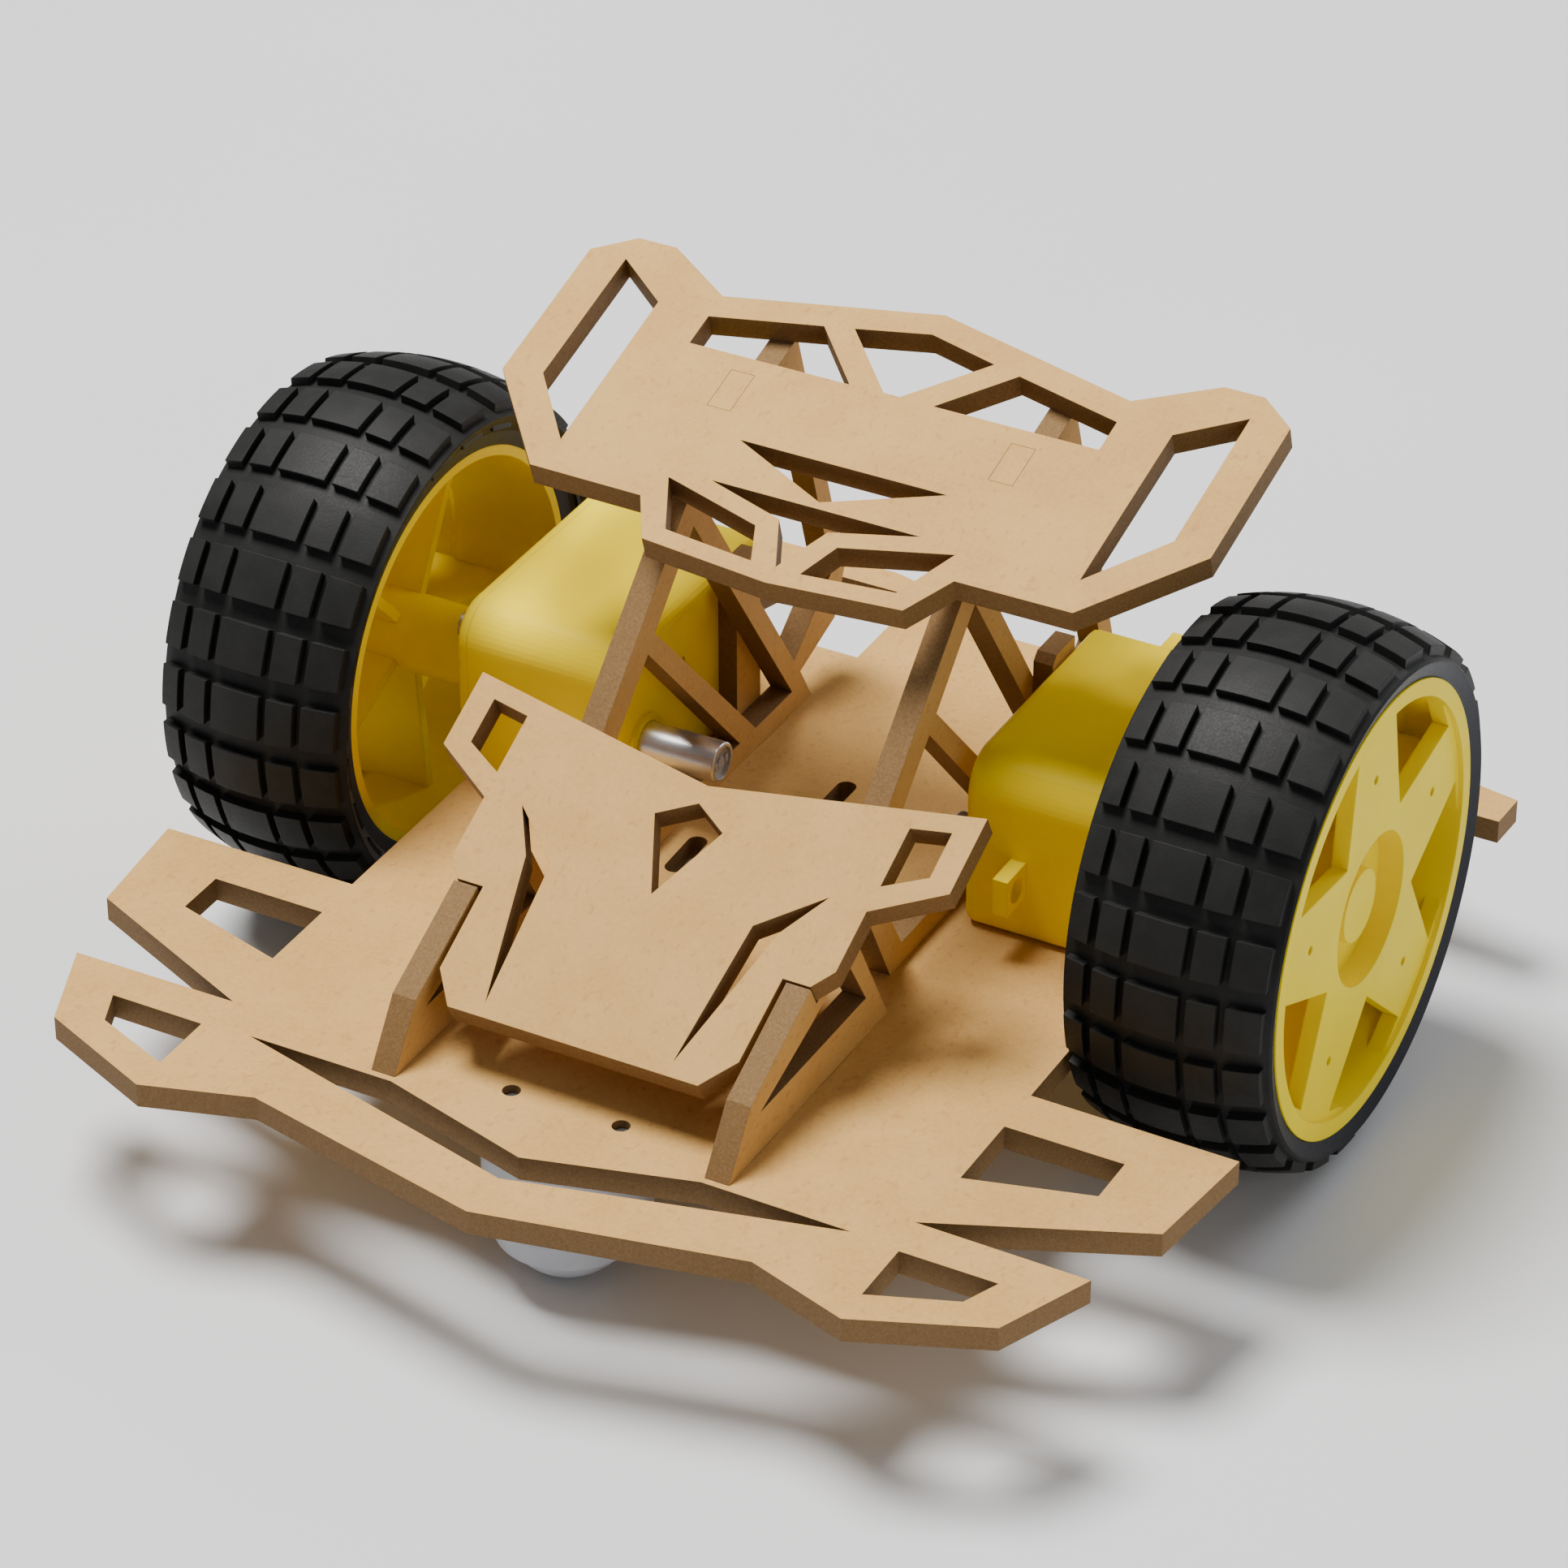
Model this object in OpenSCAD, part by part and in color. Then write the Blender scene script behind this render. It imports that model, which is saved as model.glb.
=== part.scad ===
// Robot car chassis: a laser-cut MDF frame, two geared drive wheels and a front ball caster.
// The nose of the car points along -Y. Lengths are in millimetres and angles in degrees.
// Outlines are written in the plate frame: y runs back from the tip of the bumper and z up from
// the top of the base plate. place() moves them so that the car stands on z = 0.

/* [Sheet parts] */
// Thickness of the MDF sheet
sheet = 3; // [2.8:0.1:3]
// Tilt of the wing plate
wing_tilt = 16.35; // [16:0.05:16.5]
// Height at which the wing's top face, carried forward, meets the bumper's tip
wing_rise = 23.1; // [23:0.1:23.4]
// Tilt of the hood panel
hood_tilt = 27.15; // [27:0.05:27.3]
// Height at which the hood's top face, carried forward, meets the bumper's tip
hood_rise = -4.1; // [-4.2:0.1:-4]
// Distance of each truss from the centre plane
truss_x = 16.5; // [16.3:0.1:16.5]
// Clearance round a tab in its slot
tab_gap = 0.05; // [0.02:0.01:0.15]

/* [Gearbox] */
// Distance of the gearbox from the centre plane
gearbox_x = 22; // [22:0.1:22.4]
// Width of the gearbox, lid included
gearbox_wide = 23; // [22.6:0.1:23]
// Length of the gearbox
gearbox_long = 33; // [33:0.5:34]
// Height of the gearbox
gearbox_high = 22.5; // [22.5:0.1:23]
// Wall of the housing
wall = 1.5; // [1.2:0.1:1.6]
// Thickness of the lid
lid = 1.6; // [1.4:0.1:1.8]
// Distance of the wheel axle from the bumper's tip
axle_y = 83; // [82.8:0.1:83.2]
// Distance of the gearbox's front from the axle
gearbox_front = 9.5; // [9.4:0.1:9.6]

/* [Motor] */
// Diameter of the motor can
can_d = 5; // [4.8:0.1:5.2]
// Length of the left can outside its gearbox
can_out_left = 10.6; // [8:0.1:10.8]
// Length of the right can outside its gearbox
can_out_right = 3; // [3:0.1:10.8]
// Direction of the motor from the axle, seen along +X
motor_angle = -161.1; // [-163:0.1:-159]

/* [Gears] */
// Module of the motor pinion and its wheel
fine_module = 0.3; // [0.3:0.01:0.3]
// Module of the other gears
coarse_module = 0.4; // [0.4:0.01:0.4]
// Teeth of each pinion
pinion_teeth = 8; // [8:1:8]
// Teeth of the first idler's wheel
first_teeth = 30; // [30:1:30]
// Teeth of the second idler's wheel and of the output gear
slow_teeth = 28; // [28:1:28]
// Diameter of the output shaft
shaft_d = 5.4; // [5.3:0.1:5.5]
// Width of the output shaft across its flats
shaft_flats = 3.7; // [3.6:0.1:3.8]

/* [Wheel] */
// Outer diameter of the tyre
tyre_d = 65; // [64.5:0.5:65.5]
// Width of the tyre
tyre_wide = 25; // [24.8:0.1:25]
// Middle plane of the left tyre, from the centre plane of the car
wheel_x_left = 60.6; // [60:0.1:61]
// Middle plane of the right tyre, from the centre plane of the car
wheel_x_right = 56.6; // [56.6:0.1:57]
// Diameter of the rim under the tyre
rim_d = 49.2; // [49:0.1:49.4]
// Diameter of the flange round the rim's face
flange_d = 53.6; // [53.4:0.1:54]
// Arms of the star
arms = 5; // [5:1:6]
// Rows of tread blocks
tread_rows = 25; // [24:1:26]
// Gap between two rows of blocks
row_gap = 2.5; // [2.2:0.1:2.8]
// Height of the tread blocks
block_high = 1.1; // [0.8:0.1:1.2]

/* [Caster] */
// Diameter of the caster ball
ball_d = 15.9; // [15.5:0.1:15.9]
// Outer diameter of the caster housing
cup_d = 19; // [19:0.1:20]
// Distance of the caster from the bumper's tip
caster_y = 21.2; // [21:0.1:21.4]
// Distance between the two caster screws
caster_pitch = 13.84; // [13.7:0.01:13.9]

/* [Hidden] */
$fn = 48;
eps = 0.01;

mdf = [0.80, 0.68, 0.52];
yellow = [0.90, 0.79, 0.10];
white = [0.92, 0.92, 0.88];
silver = [0.78, 0.78, 0.80];
rubber = [0.18, 0.19, 0.20];
grey = [0.72, 0.74, 0.77];

axle_z = gearbox_high / 2;
ground = tyre_d / 2 - axle_z;
plate_long = 139.3;

// Half outlines: [x, y] on the base, [x, distance up the slope] on the hood and the wing.
base_half = [
    [0, 0], [31, 6.7], [43.8, 2.6], [59, 9], [63.9, 20.8], [43, 21], [67.1, 31.6], [68.9, 47.2],
    [43.7, 47.4], [43.7, 118.8], [49, 122.4], [67.8, 122.4], [68, 127.7], [52, 130.5],
    [38, plate_long], [20.5, plate_long], [17.6, 138.6], [18.1, 135.2], [31, 135.2], [36, 119.1],
    [15.5, 119.1], [15.5, 132], [0, 132]
];
base_windows = [
    [[55.6, 15.7], [43.8, 15.7], [43.8, 7.3], [53.7, 11.2]],
    [[58.2, 40.9], [43.7, 40.9], [43.7, 30.3], [58.2, 34.4]]
];
bumper_slot = [[0, 6.7], [37.8, 16.3], [19.5, 16.4], [0, 10.95]];
// Cable slots, each as [x, y] of its two round ends
cable_slots = [[[3.1, 87.9], [3.1, 92.7]], [[12.7, 68.3], [12.9, 74]]];
cable_r = 1.2;

hood_half = [
    [0, 25.4], [15.7, 25.4], [18.8, 29.5], [18.9, 40.5], [22.3, 40.5], [24.2, 43.1], [24.2, 51.1],
    [32.1, 56], [32.1, 66.1], [0, 60.3]
];
hood_windows = [
    [[29.1, 63.2], [24.3, 62.3], [24.3, 54.5], [29.1, 57.2]],
    [[19.5, 51.5], [12.8, 45.5], [11.8, 27.2], [16, 45.6]]
];
hood_middle = [[0, 45.6], [4.3, 55.2], [0, 57.9]];

wing_half = [
    [0, 69.8], [16.5, 71.2], [19.9, 77.2], [34.4, 77.3], [45.2, 90.1], [45.2, 111.6], [40.5, 115.2],
    [35.4, 115.2], [26.3, 109.6], [0, 115.3]
];
wing_windows = [
    [[40.3, 111.5], [33.1, 106.2], [33, 82.1], [40.3, 91.1]],
    [[26.3, 106], [12.6, 109], [5.4, 101.3], [26.3, 101.3]],
    [[18.2, 80.9], [5.2, 77.4], [3.1, 72.3], [14.6, 73.4]]
];
wing_middles = [
    [[0, 101.4], [1.05, 101.4], [9, 109.8], [0, 111.9]],
    [[0, 83.1], [13.2, 89], [0, 89]],
    [[0, 72.4], [3.1, 79.2], [13.3, 82.1], [0, 82.1]]
];
// Start and end of the truss tab, measured up the wing's slope
wing_tab = [92.8, 98.9];
// Start and end of each foot tab along y
truss_feet = [[66, 74], [96, 103]];
bracket_feet = [[22, 28], [38, 46]];
bracket_x = truss_x + sheet;

// Point [y, z] at distance along a sloping sheet's top face and height above that face
function slope_point(rise, tilt, along, up) =
    [along * cos(tilt) - up * sin(tilt), rise + along * sin(tilt) + up * cos(tilt)];
function wing_point(along, up) = slope_point(wing_rise, wing_tilt, along, up);
function hood_point(along, up) = slope_point(hood_rise, hood_tilt, along, up);
// Point [y, z] on the wing's underside above y
function under_wing(y) = [y, wing_rise - sheet / cos(wing_tilt) + y * tan(wing_tilt)];
// Foot tabs from the rearmost to the foremost, as outline points below the sheet's bottom edge
function foot_points(feet) = [
    for (i = [len(feet) - 1 : -1 : 0])
        for (p = [[feet[i][1], 0], [feet[i][1], -sheet], [feet[i][0], -sheet], [feet[i][0], 0]]) p
];
truss_outline = concat(
    [[60.5, 0], [52.3, 15.9], under_wing(79.8)],
    [wing_point(wing_tab[0], -sheet), wing_point(wing_tab[0], 0)],
    [wing_point(wing_tab[1], 0), wing_point(wing_tab[1], -sheet)],
    [under_wing(105.4), [117.6, 13.8], [115, 7.7], [106.2, 4.8], [109, 0]],
    foot_points(truss_feet)
);
truss_windows = [
    [[56.6, 14.4], [69.4, 27.2], [91, 3], [63.2, 2.9]],
    [[71.1, 29.1], [80.3, 38.5], [104.1, 3], [94.9, 3]],
    [[82.6, 40.4], [104, 47], [114.2, 14.6], [104.6, 7.1]]
];
// The bracket's tongue ends just short of the step in the hood's side.
tongue_end = 40.2;
bracket_outline = concat(
    [[17.2, 0], hood_point(24.95, 0), hood_point(tongue_end, 0), hood_point(tongue_end, -sheet)],
    [hood_point(49.7, -sheet), [54, 0]],
    foot_points(bracket_feet)
);
bracket_window = [[24.3, 5.2], [36.2, 9.6], [44, 13.2], [48.8, 5.1]];
spacer_outline = [[95.8, 0], [95.8, 22.5], [96.8, 23.5], [101.6, 23.5], [101.6, 0]];

// Gearbox: stations along x, counted outwards from the centre plane
case_front = axle_y - gearbox_front;
case_rear = case_front + gearbox_long;
lid_x = gearbox_x + gearbox_wide - lid;
case_end = gearbox_x + gearbox_wide;
// Corners of the housing seen along x: [y, z, radius]
case_corners = [
    [case_front + 2, 2, 2], [case_rear - 1.2, 1.2, 1.2],
    [case_rear - 1.2, gearbox_high - 1.2, 1.2], [case_front + 5, gearbox_high - 5, 5]
];
edge_round = 1.2;
cavity_outline = [
    [case_front + wall, 2.5], [case_front + wall + 1, wall], [case_rear - wall, wall],
    [case_rear - wall, gearbox_high - wall], [case_front + 5, gearbox_high - wall],
    [case_front + wall, gearbox_high - 5]
];
bearing_x = 27.5;
bearing_t = 1;
// Gear layers: start and end along x
fine_layer = [29, 30.6];
first_layer = [30.6, 33.3];
second_layer = [31.2, 33];
slow_layer = [33, 37.2];
output_layer = [34, 37];
// Axes of the train as [y, z]
axle = [axle_y, axle_z];
fine_reach = fine_module * (pinion_teeth + first_teeth) / 2;
slow_reach = coarse_module * (pinion_teeth + slow_teeth) / 2;
motor = axle + fine_reach * [cos(motor_angle), sin(motor_angle)];
second_axis = axle + [slow_reach, 0];
pin_r = 0.5;
pin_gap = 0.05;
pin_lengths = [[axle, 36.2], [second_axis, 38.9]];
can_end = 27;
can_skin = 0.25;
cap_depth = 0.5;
rotor_r = 1.7;
rotor_shaft_r = 0.4;
// Screw posts inside the housing as [y, z]
lid_posts = [
    [case_front + 3.8, gearbox_high - 4], [case_rear - 3.7, gearbox_high - 4], [case_rear - 3.7, 8.5]
];
post_r = 1.9;
lid_screw_r = 0.8;
// Mounting screws up through the base, as y at the given x
mount_x = 33;
mount_ys = [case_front + 3.7, case_rear - 3.7];
mount_screw_r = 0.95;
mount_post_high = 5;
screw_play = 0.03;
// Front ear: its hole takes a 3 mm screw
ear_x = [28, 29.9];
ear_front = 68.8;
ear_z = [6.2, 10.9];
ear_hole_r = 1.5;

// Wheel: stations along the axle, counted outwards from the tyre's middle plane
tyre_r = tyre_d / 2;
rim_r = rim_d / 2;
rim_wall = 1.3;
rim_ends = [-10.5, 12];
seat_step = [4, 5.5];
seat_r = 26;
lip_r = 24.7;
flange_t = 1.2;
star_faces = [9.4, 11.4];
window_start = 12.2;
window_reach = 23.9;
window_half_angle = 24;
rib_start = -4;
rib_t = 1.3;
boss_r = 4.75;
boss_play = 0.6;
hub_r = 10.4;
hub_back = 6.8;
recess_r = 9.1;
recess_floor = 8.4;
cap_r = 4.4;
cap_low = 1.3;
pip_ring = 17.6;
pip_r = 0.55;
crown_r = 34.8;
tread_columns = [[-11.8, 2.6], [-8.1, 3.2], [-3.9, 6.4], [3.5, 3.3], [7.8, 3.9]];
// Ends of the output shaft's flats and of their socket, from the centre plane of the car
flats_end = 51;
socket_end = 51.5;

// Caster
ball_r = ball_d / 2;
ball_z = ball_r - ground;
cup_bottom = -16;
cup_play = 0.15;
cup_roof = 2.3;
caster_screw_r = 1;
caster_head_r = 1.75;

// Moves the plate frame onto the ground and centres the car's outline on the origin
module place() {
    translate([(wheel_x_left - wheel_x_right) / 2, -plate_long / 2, ground]) children();
}

// Copies a right-hand part to the given side
module side(name) {
    if (name == "left") {
        mirror([1, 0, 0]) children();
    } else {
        children();
    }
}

// Turns a drawing made on [y, z] so that its extrusion runs along +X from x
module along_x(x, centre = [0, 0]) {
    translate([x, centre[0], centre[1]]) rotate([90, 0, 90]) children();
}

// Values that differ between the two sides
function can_start(name) = gearbox_x - (name == "left" ? can_out_left : can_out_right);
function wheel_station(name) = name == "left" ? wheel_x_left : wheel_x_right;
function star_turn(name) = name == "left" ? 60 : 20.6;
function tread_turn(name) = name == "left" ? 5.8 : 11.1;

function both_halves(half) = concat(
    half,
    [for (i = [len(half) - 1 : -1 : 0]) if (half[i][0] > 0) [-half[i][0], half[i][1]]]
);

module pair() {
    children();
    mirror([1, 0]) children();
}

// Flat blank with mirrored windows and windows that cross the centre line
module blank(half, windows, middles) {
    difference() {
        polygon(both_halves(half));
        for (w = windows) {
            pair() polygon(w);
        }
        for (m = middles) {
            polygon(both_halves(m));
        }
    }
}

module foot_slots(x, feet) {
    for (f = feet) {
        pair() translate([x - tab_gap, f[0] - tab_gap])
            square([sheet + 2 * tab_gap, f[1] - f[0] + 2 * tab_gap]);
    }
}

module cable_slot(ends) {
    direction = ends[1] - ends[0];
    for (p = ends) {
        translate(p) circle(cable_r);
    }
    translate(ends[0]) rotate(atan2(direction[1], direction[0]))
        translate([0, -cable_r]) square([norm(direction), 2 * cable_r]);
}

module base_plate() {
    color(mdf) place() translate([0, 0, -sheet]) linear_extrude(sheet) difference() {
        blank(base_half, base_windows, [bumper_slot]);
        foot_slots(truss_x, truss_feet);
        foot_slots(bracket_x, bracket_feet);
        for (s = cable_slots) {
            pair() cable_slot(s);
        }
        pair() translate([caster_pitch / 2, caster_y]) circle(caster_screw_r + 0.05);
        for (y = mount_ys) {
            pair() translate([mount_x, y]) circle(mount_screw_r + 0.3);
        }
    }
}

// Stands a flat blank on its slope with its top face on the slope's line
module sloping(rise, tilt) {
    translate([0, 0, rise]) rotate([tilt, 0, 0]) translate([0, 0, -sheet])
        linear_extrude(sheet) children();
}

module hood_panel() {
    color(mdf) place() sloping(hood_rise, hood_tilt) blank(hood_half, hood_windows, [hood_middle]);
}

module wing_plate() {
    color(mdf) place() sloping(wing_rise, wing_tilt) difference() {
        blank(wing_half, wing_windows, wing_middles);
        foot_slots(truss_x, [wing_tab]);
    }
}

// Upright sheet cut to an outline of [y, z] points
module upright(x, outline, windows) {
    along_x(x) linear_extrude(sheet) difference() {
        polygon(outline);
        for (w = windows) {
            polygon(w);
        }
    }
}

module hood_bracket(name) {
    color(mdf) place() side(name) upright(bracket_x, bracket_outline, [bracket_window]);
}

module truss(name) {
    color(mdf) place() side(name) upright(truss_x, truss_outline, truss_windows);
}

module spacer(name) {
    start = truss_x + sheet;
    color(mdf) place() side(name) along_x(start) linear_extrude(gearbox_x - start)
        polygon(spacer_outline);
}

// Block with the housing's corners: flat at x_flat, with its edges rounded at x_round
module housing_block(x_flat, x_round) {
    inward = sign(x_flat - x_round);
    hull() {
        for (t = [0 : 30 : 90]) {
            x_step = x_round + inward * edge_round * (1 - sin(t));
            for (c = case_corners) {
                along_x(min(x_step, x_flat), c) cylinder(
                    r = max(c[2] - edge_round * (1 - cos(t)), 0.2), h = abs(x_flat - x_step), $fn = 48
                );
            }
        }
    }
}

module bar_x(x0, x1, centre, r) {
    along_x(x0, centre) cylinder(r = r, h = x1 - x0);
}

module box(low, high) {
    translate(low) cube(high - low);
}

module gearbox_case(name) {
    inner_face = gearbox_x + wall;
    color(yellow) place() side(name) difference() {
        union() {
            difference() {
                union() {
                    housing_block(lid_x, gearbox_x);
                    box([ear_x[0], ear_front, ear_z[0]], [ear_x[1], case_front + 1, ear_z[1]]);
                    box([31, case_rear - 1, gearbox_high - 3], [33.7, case_rear + 2.7, gearbox_high]);
                    bar_x(gearbox_x - 0.6, inner_face, motor, can_d / 2 + 1);
                }
                along_x(inner_face) linear_extrude(gearbox_wide) polygon(cavity_outline);
            }
            bar_x(inner_face - eps, bearing_x, motor, can_d / 2 + 0.9);
            for (p = lid_posts) {
                bar_x(inner_face - eps, lid_x, p, post_r);
            }
            for (y = mount_ys) {
                translate([mount_x, y, wall - eps]) cylinder(r = 2.2, h = mount_post_high - wall);
            }
        }
        bar_x(gearbox_x - 2, bearing_x + eps, motor, can_d / 2 + 0.02);
        bar_x(gearbox_x - 2, inner_face + eps, [87.2, 15], 0.5);
        bar_x(ear_x[0] - eps, ear_x[1] + eps, [71.2, (ear_z[0] + ear_z[1]) / 2], ear_hole_r);
        for (p = lid_posts) {
            bar_x(lid_x - 8, lid_x + eps, p, lid_screw_r + screw_play);
        }
        for (y = mount_ys) {
            translate([mount_x, y, -eps]) cylinder(r = mount_screw_r + screw_play, h = 4.5);
        }
    }
}

module gearbox_lid(name) {
    color(yellow) place() side(name) difference() {
        union() {
            housing_block(lid_x, case_end);
            bar_x(output_layer[1] + 0.5, lid_x + eps, axle, 4.2);
            bar_x(slow_layer[1] + 0.4, lid_x + eps, second_axis, 1.5);
        }
        bar_x(output_layer[1], case_end + eps, axle, shaft_d / 2 + pin_gap);
        bar_x(output_layer[1], pin_lengths[1][1] + 0.3, second_axis, pin_r + 0.02);
        for (p = lid_posts) {
            bar_x(lid_x - eps, case_end + eps, p, lid_screw_r + 0.1);
        }
    }
}

module bearing_plate(name) {
    color(white) place() side(name) along_x(bearing_x) linear_extrude(bearing_t) difference() {
        polygon([
            [case_front + wall, 2.6], [case_front + wall + 1.1, wall], [mount_ys[1] - 3, wall],
            [mount_ys[1] - 3, 16], [case_front + wall, 16]
        ]);
        translate(motor) circle(1);
        for (p = pin_lengths) {
            translate(p[0]) circle(pin_r);
        }
    }
}

module idler_pins(name) {
    color(silver) place() side(name) for (p = pin_lengths) {
        bar_x(bearing_x, p[1], p[0], pin_r);
    }
}

// Involute gear outline on [y, z]; play thins each tooth, as an arc length on the pitch circle
function involute(a) = tan(a) * 180 / PI - a;
function gear_points(m, teeth, tip, play) =
    let (
        pitch = m * teeth / 2,
        base = pitch * cos(20),
        root = pitch - 1.25 * m,
        outer = pitch + tip * m,
        half = 90 / teeth - play / pitch * 90 / PI + involute(20),
        first = max(base, root),
        steps = 4,
        radii = [for (i = [0 : steps]) first + (outer - first) * i / steps],
        flank = [for (r = radii) [r, half - involute(acos(min(base / r, 1)))]],
        side = concat([[root, flank[0][1]]], flank)
    )
    [
        for (k = [0 : teeth - 1])
            for (p = concat(
                [for (q = side) [q[0], -q[1]]],
                [for (i = [len(side) - 1 : -1 : 0]) side[i]]
            ))
                p[0] * [cos(p[1] + k * 360 / teeth), sin(p[1] + k * 360 / teeth)]
    ];

// Turn of a gear that meshes with another one standing in the given direction from it
function mesh_turn(direction, turn, teeth, own) =
    direction + 180 + 180 / own - (turn - direction) * teeth / own;

wheel_tip = 0.7;
pinion_tip = 0.9;
gear_play = 0.12;

module gear(layer, centre, m, teeth, tip, turn) {
    along_x(layer[0], centre) linear_extrude(layer[1] - layer[0]) rotate(turn)
        polygon(gear_points(m, teeth, tip, gear_play));
}

module motor_can(name) {
    length = can_end - can_start(name);
    color(silver) place() side(name) along_x(can_start(name), motor) difference() {
        rotate_extrude() {
            translate([0, can_skin]) square([can_d / 2, length - can_skin]);
            square([can_d / 2 - can_skin, can_skin + eps]);
            translate([can_d / 2 - can_skin, can_skin]) circle(can_skin, $fn = 24);
        }
        translate([0, 0, -eps]) cylinder(r = can_d / 2 - 2 * can_skin, h = 1);
        translate([0, 0, cap_depth]) cylinder(r = can_d / 2 - can_skin, h = length - cap_depth - 0.4);
        cylinder(r = rotor_shaft_r + pin_gap, h = length + eps);
    }
}

module motor_cap(name) {
    color(grey) place() side(name) along_x(can_start(name) + cap_depth, motor) {
        cylinder(r = can_d / 2 - can_skin - 0.02, h = 1);
        translate([0, 0, -0.3]) cylinder(r = 0.7, h = 0.3 + eps);
        for (s = [-1, 1]) {
            translate([s * 1.25 - 0.25, -0.45, -0.35]) cube([0.5, 0.9, 0.35 + eps]);
        }
    }
}

module motor_rotor(name) {
    turn = mesh_turn(motor_angle, 0, first_teeth, pinion_teeth);
    color(silver) place() side(name) {
        bar_x(can_start(name) + cap_depth + 1.2, fine_layer[1], motor, rotor_shaft_r);
        bar_x(can_start(name) + 3, can_end - 1.2, motor, rotor_r);
        gear(fine_layer, motor, fine_module, pinion_teeth, pinion_tip, turn);
    }
}

module first_idler(name) {
    color(white) place() side(name) difference() {
        union() {
            gear(fine_layer, axle, fine_module, first_teeth, wheel_tip, 0);
            gear([first_layer[0] - eps, first_layer[1]], axle, coarse_module, pinion_teeth, pinion_tip, 0);
        }
        bar_x(bearing_x, case_end, axle, pin_r + pin_gap);
    }
}

module second_idler(name) {
    turn = mesh_turn(0, 0, pinion_teeth, slow_teeth);
    color(white) place() side(name) difference() {
        union() {
            gear(second_layer, second_axis, coarse_module, slow_teeth, wheel_tip, turn);
            gear([slow_layer[0] - eps, slow_layer[1]], second_axis, coarse_module, pinion_teeth,
                pinion_tip, 0);
        }
        bar_x(bearing_x, case_end, second_axis, pin_r + pin_gap);
    }
}

// Round shaft cut to two parallel flats
module double_d(x0, x1, d, flats) {
    along_x(x0, axle) linear_extrude(x1 - x0) intersection() {
        circle(d / 2);
        square([2 * d, flats], center = true);
    }
}

module output_gear(name) {
    turn = mesh_turn(180, 0, pinion_teeth, slow_teeth);
    color(white) place() side(name) difference() {
        union() {
            gear(output_layer, axle, coarse_module, slow_teeth, wheel_tip, turn);
            bar_x(output_layer[0] - 0.4, case_end + 0.4, axle, shaft_d / 2);
            double_d(case_end, flats_end, shaft_d, shaft_flats);
        }
        bar_x(bearing_x, 36.5, axle, pin_r + pin_gap);
    }
}

// Barrel of the rim: it widens behind the star and ends in a flange round the face
module rim_barrel() {
    rotate_extrude($fn = 120) polygon([
        [rim_r, rim_ends[0]], [rim_r, seat_step[0]], [seat_r, seat_step[1]],
        [seat_r, rim_ends[1] - flange_t], [flange_d / 2, rim_ends[1] - flange_t],
        [flange_d / 2, rim_ends[1]], [lip_r, rim_ends[1]], [lip_r, seat_step[1]],
        [rim_r - rim_wall, seat_step[0]], [rim_r - rim_wall, rim_ends[0]]
    ]);
}

module wheel_rim(name) {
    station = wheel_station(name);
    boss_start = case_end + boss_play - station;
    color(yellow) place() side(name) along_x(station, axle) difference() {
        union() {
            rim_barrel();
            translate([0, 0, hub_back]) cylinder(r = hub_r, h = star_faces[0] - hub_back + eps);
            translate([0, 0, boss_start]) cylinder(r = boss_r, h = hub_back - boss_start + eps);
            rotate(star_turn(name)) {
                translate([0, 0, star_faces[0]]) linear_extrude(star_faces[1] - star_faces[0]) star();
                for (k = [0 : arms - 1]) {
                    rotate(k * 360 / arms) translate([boss_r - 0.5, -rib_t / 2, rib_start])
                        cube([rim_r - rim_wall - boss_r + 1, rib_t, star_faces[0] - rib_start + eps]);
                }
            }
        }
        difference() {
            translate([0, 0, recess_floor]) cylinder(r = recess_r, h = 4);
            cylinder(r = cap_r, h = star_faces[1] - cap_low);
        }
        for (k = [0 : arms - 1]) {
            rotate(star_turn(name) + k * 360 / arms) translate([pip_ring, 0, star_faces[1] - 1.2])
                cylinder(r = pip_r, h = 4, $fn = 24);
        }
        for (a = [62, 242]) {
            rotate(a) translate([6.7, 0, recess_floor - 0.8]) cylinder(r = pip_r, h = 4, $fn = 24);
        }
        translate([0, 0, boss_start - eps]) linear_extrude(socket_end - station - boss_start)
            intersection() {
                circle(shaft_d / 2 + pin_gap);
                square([2 * shaft_d, shaft_flats + 2 * pin_gap], center = true);
            }
    }
}

// Star disc: the windows leave one arm between each two of them
module star() {
    corner = window_reach * [cos(window_half_angle), sin(window_half_angle)];
    difference() {
        circle(lip_r + 0.5, $fn = 120);
        for (k = [0 : arms - 1]) {
            rotate((k + 0.5) * 360 / arms) polygon([
                [window_start, 0], [corner[0], -corner[1]], [seat_r + 1, 0], corner
            ]);
        }
        circle(boss_r);
    }
    circle(hub_r);
}

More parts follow.
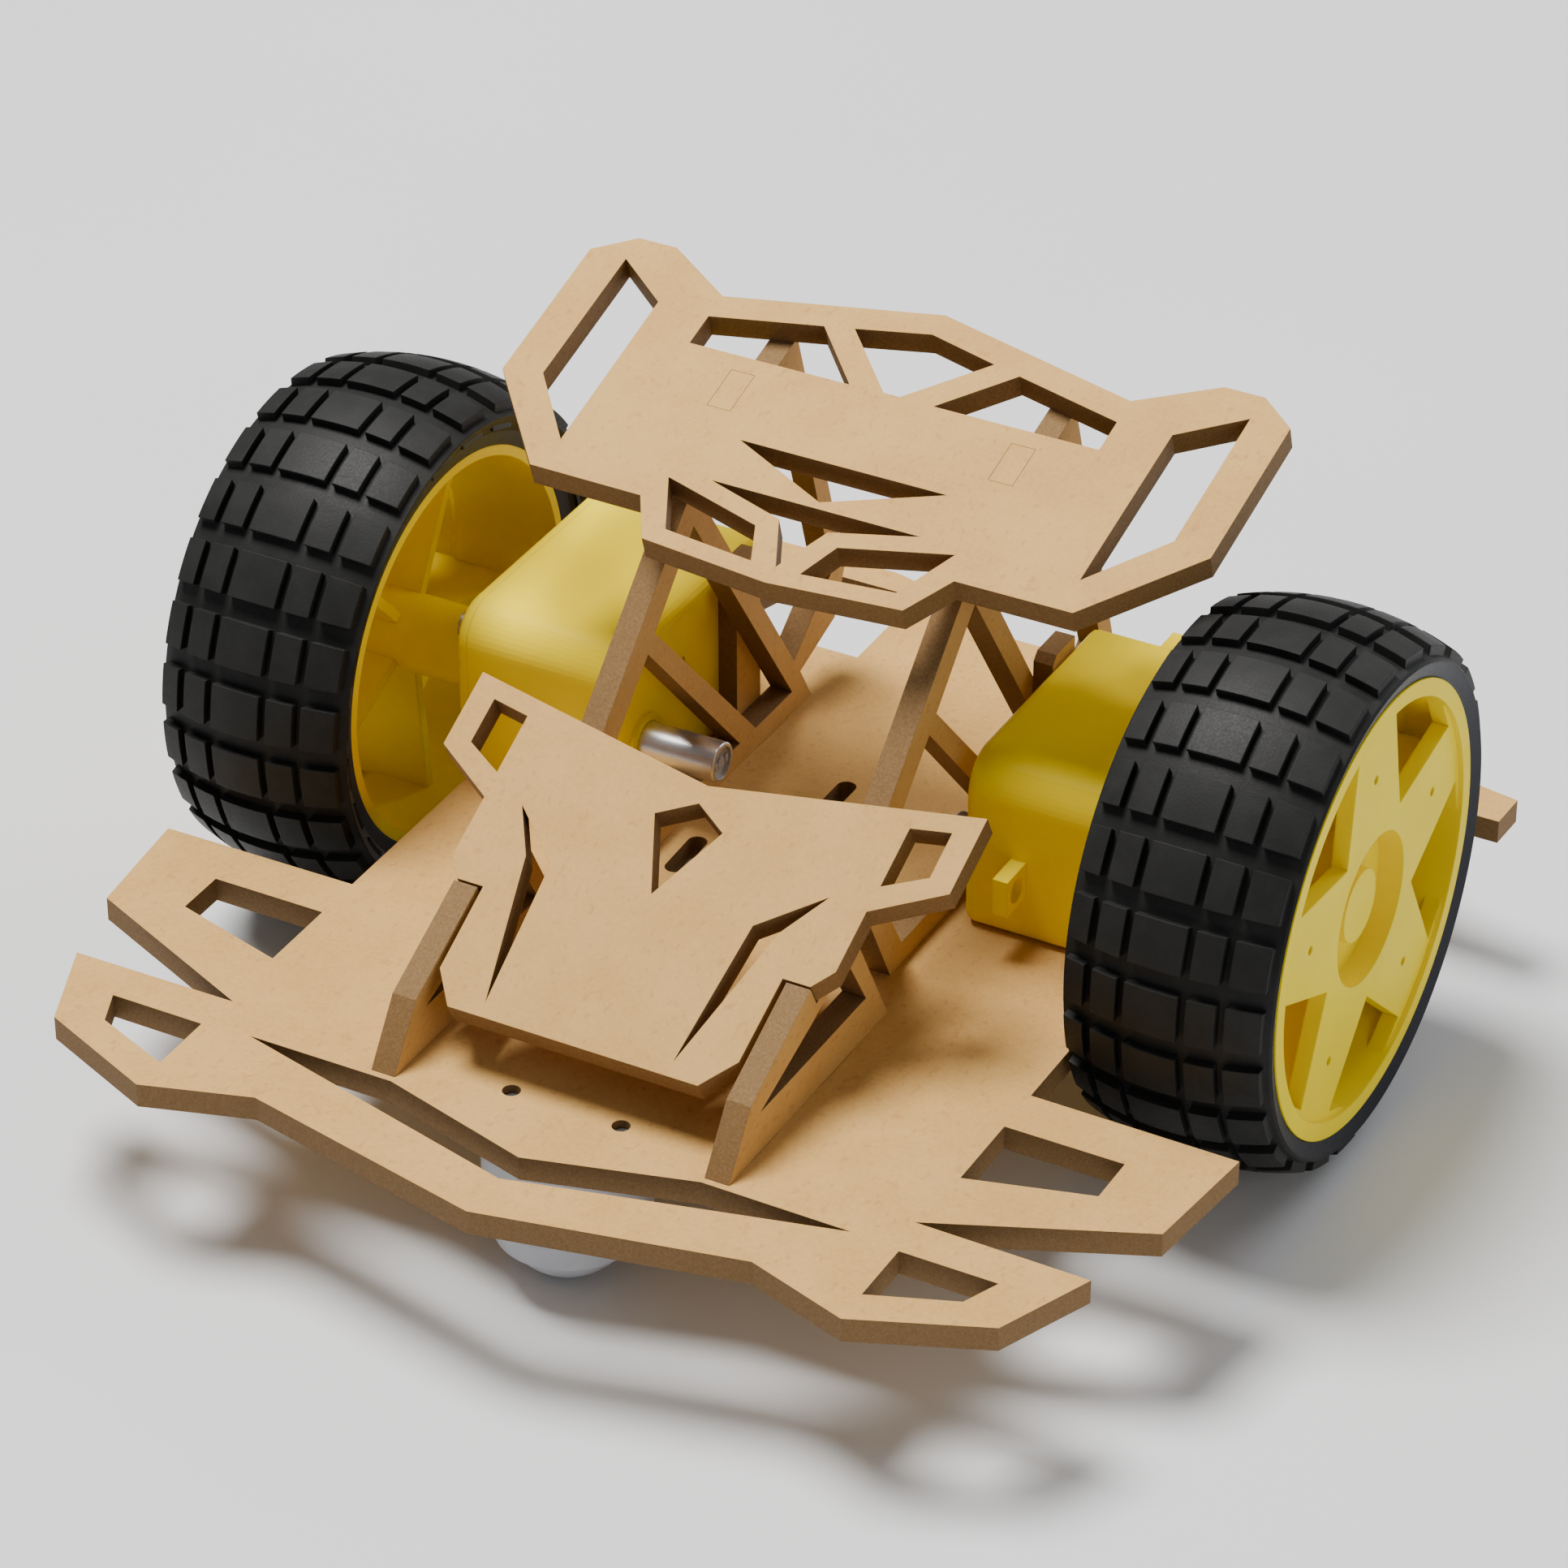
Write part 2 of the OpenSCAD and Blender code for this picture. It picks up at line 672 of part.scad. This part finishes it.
module tyre(name) {
    half = tyre_wide / 2;
    base_r = tyre_r - block_high;
    // The blocks run in the same order along +X on both wheels.
    flip = name == "left" ? -1 : 1;
    color(rubber) place() side(name) along_x(wheel_station(name), axle) {
        rotate_extrude($fn = 120) intersection() {
            translate([tyre_r - crown_r, 0]) circle(crown_r - block_high, $fn = 120);
            polygon([
                [rim_r, rim_ends[0]], [rim_r + 1.8, rim_ends[0] - 0.4], [rim_r + 4.2, -half],
                [tyre_r, -half], [tyre_r, half - 0.4], [base_r - 2.4, half - 0.2],
                [flange_d / 2 + 2, half], [flange_d / 2, rim_ends[1] - 0.2],
                [flange_d / 2, rim_ends[1] - flange_t], [seat_r, rim_ends[1] - flange_t],
                [seat_r, seat_step[1]], [rim_r, seat_step[0]]
            ]);
        }
        difference() {
            rotate_extrude($fn = 120) intersection() {
                translate([tyre_r - crown_r, 0]) circle(crown_r, $fn = 120);
                for (c = tread_columns) {
                    translate([tyre_r - 5.5, flip > 0 ? c[0] : -c[0] - c[1]]) square([8, c[1]]);
                }
            }
            for (k = [0 : tread_rows - 1]) {
                rotate(tread_turn(name) + k * 360 / tread_rows)
                    translate([tyre_r - 8, -row_gap / 2, -half]) cube([12, row_gap, tyre_wide]);
            }
        }
    }
}

module pan_screw(head_r, head_t, r, length) {
    translate([0, 0, -head_t]) cylinder(r = head_r, h = head_t);
    translate([0, 0, -eps]) cylinder(r = r, h = length);
}

module lid_screws() {
    color(silver) place() for (name = ["left", "right"]) {
        side(name) for (p = lid_posts) {
            translate([case_end, p[0], p[1]]) rotate([0, -90, 0]) pan_screw(1.5, 1, lid_screw_r, 8);
        }
    }
}

module gearbox_screws() {
    color(silver) place() for (name = ["left", "right"]) {
        side(name) for (y = mount_ys) {
            translate([mount_x, y, -sheet]) pan_screw(1.9, 1.4, mount_screw_r, 6.8);
        }
    }
}

module caster_housing() {
    cavity_r = ball_r + cup_play;
    color(grey) place() translate([0, caster_y, 0]) difference() {
        rotate_extrude() polygon([
            [0, -sheet], [cup_d / 2, -sheet], [cup_d / 2, cup_bottom + 3.5],
            [cup_d / 2 - 1.1, cup_bottom], [0, cup_bottom]
        ]);
        translate([0, 0, ball_z]) sphere(r = cavity_r, $fn = 96);
        for (s = [-1, 1]) {
            translate([s * caster_pitch / 2, 0, -sheet - cup_roof - 4.5])
                cylinder(r = caster_head_r + 0.15, h = 4.5);
            translate([s * caster_pitch / 2, 0, -sheet - cup_roof - eps])
                cylinder(r = caster_screw_r + 0.05, h = cup_roof + 1);
        }
    }
}

module caster_ball() {
    color(grey) place() translate([0, caster_y, ball_z]) sphere(r = ball_r, $fn = 96);
}

module caster_screws() {
    color(silver) place() for (s = [-1, 1]) {
        translate([s * caster_pitch / 2, caster_y, -sheet - cup_roof])
            pan_screw(caster_head_r, 1.2, caster_screw_r, cup_roof + 2);
    }
}

base_plate();
hood_panel();
hood_bracket("left");  // hood_bracket_left
hood_bracket("right");  // hood_bracket_right
wing_plate();
truss("left");  // truss_left
truss("right");  // truss_right
spacer("left");  // spacer_left
spacer("right");  // spacer_right
gearbox_case("left");  // gearbox_case_left
gearbox_case("right");  // gearbox_case_right
gearbox_lid("left");  // gearbox_lid_left
gearbox_lid("right");  // gearbox_lid_right
bearing_plate("left");  // bearing_plate_left
bearing_plate("right");  // bearing_plate_right
motor_can("left");  // motor_can_left
motor_can("right");  // motor_can_right
motor_cap("left");  // motor_cap_left
motor_cap("right");  // motor_cap_right
motor_rotor("left");  // motor_rotor_left
motor_rotor("right");  // motor_rotor_right
first_idler("left");  // first_idler_left
first_idler("right");  // first_idler_right
second_idler("left");  // second_idler_left
second_idler("right");  // second_idler_right
idler_pins("left");  // idler_pins_left
idler_pins("right");  // idler_pins_right
output_gear("left");  // output_gear_left
output_gear("right");  // output_gear_right
wheel_rim("left");  // wheel_rim_left
wheel_rim("right");  // wheel_rim_right
tyre("left");  // tyre_left
tyre("right");  // tyre_right
lid_screws();
gearbox_screws();
caster_housing();
caster_ball();
caster_screws();
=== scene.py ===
"""Looks for the robot car chassis: MDF sheet, yellow plastic, rubber tyres and small metal parts."""

import math

import bpy
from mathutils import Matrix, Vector


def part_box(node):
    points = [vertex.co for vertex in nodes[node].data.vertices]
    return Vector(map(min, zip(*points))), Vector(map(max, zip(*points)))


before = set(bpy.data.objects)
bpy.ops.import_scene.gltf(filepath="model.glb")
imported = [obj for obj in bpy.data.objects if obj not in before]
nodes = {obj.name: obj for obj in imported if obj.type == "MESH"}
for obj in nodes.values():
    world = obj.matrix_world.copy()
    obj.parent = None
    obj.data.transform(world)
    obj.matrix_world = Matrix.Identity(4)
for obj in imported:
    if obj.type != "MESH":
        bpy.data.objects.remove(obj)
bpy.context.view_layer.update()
MM = 0.001

# Angles of the sloping sheets, in degrees, and the height of the wing's top face along its normal.
WING_TILT = 16.35
HOOD_TILT = 27.15
WING_TOP = 62.16 * MM

# Cosine of the angle to a board's normal: all cut edge below the first, all face above the second.
EDGE_FACING = 0.55
FACE_FACING = 0.9
# Depths under a sheet's top face between which a tab's edge look fades to the sheet's own.
FLUSH_DEPTHS = (0.25 * MM, 0.15 * MM)

# Distances from the axle over which sidewall turns to tread, and over which painted light brightens
# the block tops above the darker groove floors.
WALL_BLEND = (28.4 * MM, 29.0 * MM)
BLOCK_TOP_LIGHT_BLEND = (30.6 * MM, 32.4 * MM)

# ---------------------------------------------------------------- shader helpers


class Shader:
    """A new material with its principled shader and short ways to add nodes to it."""

    def __init__(self, name):
        self.material = bpy.data.materials.new(name)
        self.material.use_nodes = True
        self.tree = self.material.node_tree
        self.bsdf = self.tree.nodes["Principled BSDF"]
        self.place = self.add("ShaderNodeTexCoord").outputs["Object"]

    def add(self, kind, **values):
        node = self.tree.nodes.new(kind)
        for key, value in values.items():
            setattr(node, key, value)
        return node

    def link(self, source, target):
        self.tree.links.new(source, target)

    def math(self, operation, a, b=None):
        node = self.add("ShaderNodeMath", operation=operation)
        for socket, value in zip(node.inputs, (a, b)):
            if value is None:
                continue
            if isinstance(value, (int, float)):
                socket.default_value = value
            else:
                self.link(value, socket)
        return node.outputs[0]

    def noise(self, size, detail=3.0, roughness=0.55, stretch=(1, 1, 1), seed=0.0):
        """Noise whose features are about size metres across."""
        mapping = self.add("ShaderNodeMapping")
        mapping.inputs["Scale"].default_value = [s / size for s in stretch]
        mapping.inputs["Location"].default_value = (seed, 2 * seed, -seed)
        self.link(self.place, mapping.inputs["Vector"])
        node = self.add("ShaderNodeTexNoise")
        node.inputs["Scale"].default_value = 1.0
        node.inputs["Detail"].default_value = detail
        node.inputs["Roughness"].default_value = roughness
        self.link(mapping.outputs[0], node.inputs["Vector"])
        return node.outputs["Fac"]

    def band(self, value, low, high, to_low=0.0, to_high=1.0):
        """value between low and high, mapped smoothly to to_low and to_high."""
        node = self.add("ShaderNodeMapRange", interpolation_type="SMOOTHSTEP")
        limits = {"From Min": low, "From Max": high, "To Min": to_low, "To Max": to_high}
        for name, number in limits.items():
            node.inputs[name].default_value = number
        self.link(value, node.inputs["Value"])
        return node.outputs[0]

    def mix(self, fac, a, b):
        """a where fac is 0 and b where it is 1; each is a colour or a socket."""
        node = self.add("ShaderNodeMix", data_type="RGBA")
        # Inputs 6 and 7 are the node's two colours; 2 to 5 belong to its other data types.
        for socket, value in zip((node.inputs[0], node.inputs[6], node.inputs[7]), (fac, a, b)):
            if isinstance(value, tuple):
                socket.default_value = (*value, 1.0)
            else:
                self.link(value, socket)
        return node.outputs[2]

    def surface(self, colour, roughness, bump=(), edge=0.0, **fixed):
        """Sets the shader. bump lists (height, depth in metres); edge is a softened edge's radius."""
        self.link(colour, self.bsdf.inputs["Base Color"])
        self.link(roughness, self.bsdf.inputs["Roughness"])
        for name, value in fixed.items():
            self.bsdf.inputs[name.replace("_", " ")].default_value = value
        normal = None
        if edge:
            bevel = self.add("ShaderNodeBevel", samples=4)
            bevel.inputs["Radius"].default_value = edge
            normal = bevel.outputs[0]
        for height, depth in bump:
            node = self.add("ShaderNodeBump")
            node.inputs["Distance"].default_value = depth
            self.link(height, node.inputs["Height"])
            if normal is not None:
                self.link(normal, node.inputs["Normal"])
            normal = node.outputs[0]
        if normal is not None:
            self.link(normal, self.bsdf.inputs["Normal"])
        return self.material

    def away_from(self, direction):
        """0 on faces square to direction and 1 on the cut edges beside them."""
        own_normal = self.tree.nodes["Texture Coordinate"].outputs["Normal"]
        dot = self.add("ShaderNodeVectorMath", operation="DOT_PRODUCT")
        dot.inputs[1].default_value = direction
        self.link(own_normal, dot.inputs[0])
        facing = self.math("ABSOLUTE", dot.outputs["Value"])
        return self.band(facing, EDGE_FACING, FACE_FACING, 1.0, 0.0)

    def below(self, direction, height):
        """1 well below the plane height metres along direction, 0 from just under it upwards."""
        dot = self.add("ShaderNodeVectorMath", operation="DOT_PRODUCT")
        dot.inputs[1].default_value = direction
        self.link(self.place, dot.inputs[0])
        low, high = (height - depth for depth in FLUSH_DEPTHS)
        return self.band(dot.outputs["Value"], low, high, 1.0, 0.0)

    def radius_from(self, centre):
        """Distance from the axle line that runs along X through centre, in metres."""
        shifted = self.add("ShaderNodeVectorMath", operation="SUBTRACT")
        shifted.inputs[1].default_value = centre
        flat = self.add("ShaderNodeVectorMath", operation="MULTIPLY")
        flat.inputs[1].default_value = (0, 1, 1)
        size = self.add("ShaderNodeVectorMath", operation="LENGTH")
        self.link(self.place, shifted.inputs[0])
        self.link(shifted.outputs[0], flat.inputs[0])
        self.link(flat.outputs[0], size.inputs[0])
        return size.outputs["Value"]


# ---------------------------------------------------------------- materials


def mdf(name, face_normal, seed, flush=None):
    """Fibreboard: warm, faintly flecked faces, and darker, coarser edges where it was cut, their dark
    partly the cut's own tone and partly painted shade.

    flush is (normal, height) of a sheet's top face whose slots the tabs fill; they are sanded like it.
    """
    s = Shader(name)
    cloud = s.noise(11 * MM, 4, 0.6, seed=seed)
    fibre = s.noise(0.55 * MM, 3, 0.7, seed=seed + 3)
    fleck = s.noise(0.8 * MM, 2, 0.5, stretch=(1, 0.6, 1), seed=seed + 7)
    face = s.mix(s.band(cloud, 0.35, 0.68), (0.525, 0.292, 0.080), (0.580, 0.335, 0.100))
    face = s.mix(s.band(fibre, 0.3, 0.75, 0.0, 0.45), face, (0.66, 0.41, 0.145))
    face = s.mix(s.band(fleck, 0.58, 0.74, 0.0, 0.34), face, (0.34, 0.165, 0.045))
    grit = s.noise(0.3 * MM, 4, 0.75, seed=seed + 11)
    streak = s.noise(2.2 * MM, 2, 0.5, seed=seed + 13)
    # Cut edges: darker than the faces, partly the cut's own tone and partly painted shade on the side
    # faces.
    cut = s.mix(s.band(grit, 0.3, 0.72), (0.165, 0.090, 0.030), (0.250, 0.142, 0.052))
    cut = s.mix(s.band(streak, 0.4, 0.75, 0.0, 0.2), cut, (0.20, 0.105, 0.032))
    edge_tone_and_shade = s.away_from(face_normal)
    if flush:
        edge_tone_and_shade = s.math("MULTIPLY", edge_tone_and_shade, s.below(*flush))
    colour = s.mix(edge_tone_and_shade, face, cut)
    rough = s.band(fibre, 0.2, 0.8, 0.66, 0.84)
    return s.surface(
        colour, rough, [(fibre, 0.02 * MM), (grit, 0.015 * MM)], edge=0.12 * MM, Specular_IOR_Level=0.3
    )


def yellow(name, seed):
    """Moulded yellow plastic, satin, with a faint flow mottle and the mould's fine grain."""
    s = Shader(name)
    flow = s.noise(14 * MM, 3, 0.5, seed=seed)
    grain = s.noise(0.25 * MM, 2, 0.6, seed=seed + 2)
    haze = s.noise(3 * MM, 3, 0.6, seed=seed + 5)
    colour = s.mix(s.band(flow, 0.3, 0.7), (0.89, 0.675, 0.0), (0.94, 0.725, 0.001))
    rough = s.band(haze, 0.25, 0.8, 0.36, 0.46)
    return s.surface(colour, rough, [(grain, 0.006 * MM)], edge=0.3 * MM, Specular_IOR_Level=0.05)


def rubber(name, centre, seed):
    """Charcoal rubber: dull, slightly dusty blocks with painted light on their outer tops, and a
    smoother sidewall with a painted bluish reflection.
    """
    s = Shader(name)
    radius = s.radius_from(centre)
    grain = s.noise(0.3 * MM, 3, 0.65, seed=seed)
    dust = s.noise(5 * MM, 5, 0.65, seed=seed + 4)
    tread = s.mix(s.band(dust, 0.35, 0.7), (0.014, 0.0142, 0.0137), (0.020, 0.0203, 0.0196))
    on_wall = s.band(radius, *WALL_BLEND, 1.0, 0.0)
    # The sidewall's bluish colour is a painted reflection, not the rubber's own tint.
    colour = s.mix(on_wall, tread, (0.011, 0.012, 0.020))
    # Painted light: the outer radius (the block tops) is lightened over the groove floors, which stay
    # darker as painted shade.
    painted_top_light = s.band(radius, *BLOCK_TOP_LIGHT_BLEND, 0.0, 0.25)
    colour = s.mix(painted_top_light, colour, (0.021, 0.0215, 0.021))
    tread_rough = s.band(grain, 0.2, 0.8, 0.44, 0.58)
    rough = s.math("ADD", tread_rough, s.math("MULTIPLY", on_wall, -0.08))
    return s.surface(colour, rough, [(grain, 0.02 * MM)], edge=0.18 * MM, Specular_IOR_Level=0.13)


def white_nylon(name):
    s = Shader(name)
    cloud = s.noise(4 * MM, 3, 0.5, seed=31)
    colour = s.mix(s.band(cloud, 0.3, 0.7), (0.72, 0.71, 0.66), (0.80, 0.79, 0.75))
    rough = s.band(cloud, 0.2, 0.8, 0.34, 0.44)
    return s.surface(colour, rough, [(cloud, 0.01 * MM)], edge=0.05 * MM)


def brushed_metal(name, colour_low, colour_high, rough_low, rough_high, seed, along=(0.02, 1, 1)):
    """Metal with fine lines; along stretches them, so its small entry runs along the lines."""
    s = Shader(name)
    lines = s.noise(0.12 * MM, 3, 0.7, stretch=along, seed=seed)
    stain = s.noise(2.5 * MM, 3, 0.6, seed=seed + 9)
    colour = s.mix(s.band(stain, 0.3, 0.75), colour_low, colour_high)
    rough = s.band(lines, 0.25, 0.75, rough_low, rough_high)
    return s.surface(colour, rough, [(lines, 0.006 * MM)], edge=0.08 * MM, Metallic=1.0)


def grey_plastic(name, low, high, rough_low, rough_high, seed):
    s = Shader(name)
    cloud = s.noise(5 * MM, 4, 0.55, seed=seed)
    grain = s.noise(0.3 * MM, 2, 0.6, seed=seed + 1)
    colour = s.mix(s.band(cloud, 0.3, 0.7), low, high)
    rough = s.band(cloud, 0.2, 0.8, rough_low, rough_high)
    return s.surface(colour, rough, [(grain, 0.008 * MM)], edge=0.2 * MM)


def paint(node, material):
    mesh = nodes[node].data
    mesh.materials.clear()
    mesh.materials.append(material)


def slope_normal(degrees):
    angle = math.radians(degrees)
    return (0, -math.sin(angle), math.cos(angle))


paint("base_plate", mdf("base_board", (0, 0, 1), 1.0))
paint("hood_panel", mdf("hood_board", slope_normal(HOOD_TILT), 4.0))
paint("wing_plate", mdf("wing_board", slope_normal(WING_TILT), 9.0))
upright_board = mdf("upright_board", (1, 0, 0), 15.0, flush=(slope_normal(WING_TILT), WING_TOP))
case_yellow = yellow("case_yellow", 2.0)
rim_yellow = yellow("rim_yellow", 8.0)
nylon = white_nylon("gear_nylon")
can_metal = brushed_metal("can_metal", (0.66, 0.66, 0.68), (0.74, 0.74, 0.75), 0.30, 0.40, 21.0)
screw_metal = brushed_metal(
    "screw_metal", (0.42, 0.42, 0.44), (0.56, 0.56, 0.58), 0.26, 0.4, 27.0, along=(1, 1, 1)
)
cap_plastic = grey_plastic("cap_plastic", (0.30, 0.30, 0.31), (0.42, 0.42, 0.43), 0.35, 0.5, 5.0)
cup_plastic = grey_plastic("cup_plastic", (0.40, 0.42, 0.46), (0.47, 0.49, 0.53), 0.38, 0.5, 12.0)
ball_plastic = grey_plastic("ball_plastic", (0.47, 0.49, 0.54), (0.53, 0.55, 0.60), 0.24, 0.36, 17.0)

TYRE_SEEDS = {"left": 3.0, "right": 6.0}
for side in ("left", "right"):
    for part in ("hood_bracket", "truss", "spacer"):
        paint(f"{part}_{side}", upright_board)
    for part in ("gearbox_case", "gearbox_lid"):
        paint(f"{part}_{side}", case_yellow)
    for part in ("bearing_plate", "first_idler", "second_idler", "output_gear"):
        paint(f"{part}_{side}", nylon)
    paint(f"motor_can_{side}", can_metal)
    paint(f"motor_cap_{side}", cap_plastic)
    for part in ("motor_rotor", "idler_pins"):
        paint(f"{part}_{side}", screw_metal)
    paint(f"wheel_rim_{side}", rim_yellow)
    low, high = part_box(f"tyre_{side}")
    paint(f"tyre_{side}", rubber(f"tyre_rubber_{side}", (low + high) / 2, TYRE_SEEDS[side]))
for name in ("lid_screws", "gearbox_screws", "caster_screws"):
    paint(name, screw_metal)
paint("caster_housing", cup_plastic)
paint("caster_ball", ball_plastic)

# ---------------------------------------------------------------- floor, light and camera


FLOOR_HALF = 4.0
WORLD_STRENGTH = 0.20
AIM = (0, 0, 0.03)


def studio_floor():
    s = Shader("floor_paint")
    cloud = s.noise(0.25, 3, 0.5, seed=40)
    colour = s.mix(s.band(cloud, 0.3, 0.7), (0.70, 0.71, 0.73), (0.74, 0.75, 0.77))
    material = s.surface(colour, s.band(cloud, 0.2, 0.8, 0.55, 0.65))
    half = FLOOR_HALF
    mesh = bpy.data.meshes.new("studio_floor")
    corners = [(-half, -half, 0), (half, -half, 0), (half, half, 0), (-half, half, 0)]
    mesh.from_pydata(corners, [], [(0, 1, 2, 3)])
    mesh.materials.append(material)
    floor = bpy.data.objects.new("studio_floor", mesh)
    bpy.context.scene.collection.objects.link(floor)


def area_light(name, place, size, power, colour):
    """A round lamp of size metres and power watts at place, turned to AIM."""
    data = bpy.data.lights.new(name, "AREA")
    data.shape = "DISK"
    data.size = size
    data.energy = power
    data.color = colour
    lamp = bpy.data.objects.new(name, data)
    lamp.location = place
    lamp.rotation_euler = (Vector(AIM) - Vector(place)).to_track_quat("-Z", "Y").to_euler()
    bpy.context.scene.collection.objects.link(lamp)


def studio_light():
    world = bpy.data.worlds.new("studio")
    world.use_nodes = True
    background = world.node_tree.nodes["Background"]
    background.inputs["Color"].default_value = (0.96, 0.98, 1.0, 1.0)
    background.inputs["Strength"].default_value = WORLD_STRENGTH
    bpy.context.scene.world = world
    area_light("key", (-0.28, 0.04, 0.93), 0.45, 18.5, (1.0, 0.98, 0.95))
    area_light("rear", (0.35, 0.75, 0.60), 0.60, 3.0, (0.96, 0.98, 1.0))
    area_light("right", (0.86, -0.25, 0.36), 0.60, 1.7, (1.0, 0.99, 0.97))


CAMERA_PLACE = (272.4 * MM, -500.0 * MM, 404.8 * MM)
CAMERA_AZIMUTH = 28.32
CAMERA_ELEVATION = 32.99
LENS_MM = 136.5
SENSOR_MM = 36.0


def photo_camera():
    data = bpy.data.cameras.new("camera")
    data.sensor_width = SENSOR_MM
    data.lens = LENS_MM
    data.clip_start = 0.01
    camera = bpy.data.objects.new("camera", data)
    camera.location = CAMERA_PLACE
    camera.rotation_euler = (math.radians(90 - CAMERA_ELEVATION), 0, math.radians(CAMERA_AZIMUTH))
    bpy.context.scene.collection.objects.link(camera)
    bpy.context.scene.camera = camera


studio_floor()
studio_light()
photo_camera()
